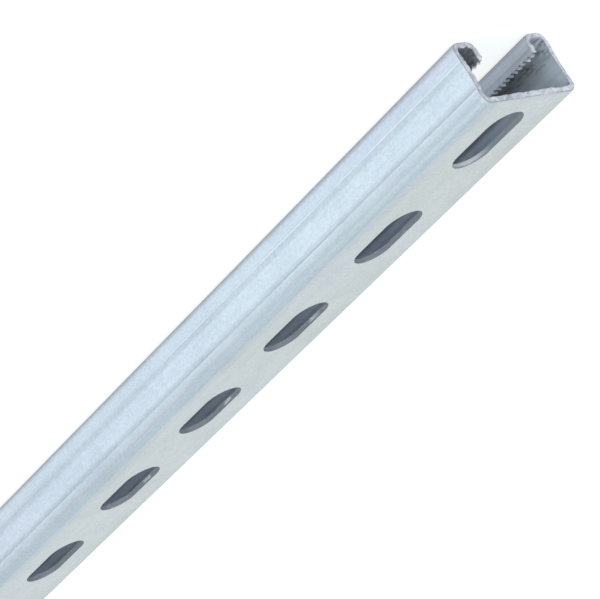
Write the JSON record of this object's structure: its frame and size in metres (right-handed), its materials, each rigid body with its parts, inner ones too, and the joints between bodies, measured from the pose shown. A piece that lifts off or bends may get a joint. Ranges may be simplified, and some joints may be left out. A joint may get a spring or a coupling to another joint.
{
  "type": "strut channel",
  "caption": "Roll-formed slotted strut channel with returned, toothed lips and a shallow band along each side wall, for bolting, hanging and bracketing.",
  "frame": {"origin": "middle of the length and width, in the plane of the lips' outer faces", "axes": "+X along the length, away from the end with the nearer slot; +Y across the width; +Z from the lips to the slotted back"},
  "size_m": [1, 0.0412, 0.0206],
  "materials": {
    "galvanised_steel": "bright pre-galvanised strip with fine lengthwise rolling lines; grey sheared edges"
  },
  "bodies": {
    "root": {"strut_channel": "galvanised_steel"}
  },
  "joints": []
}
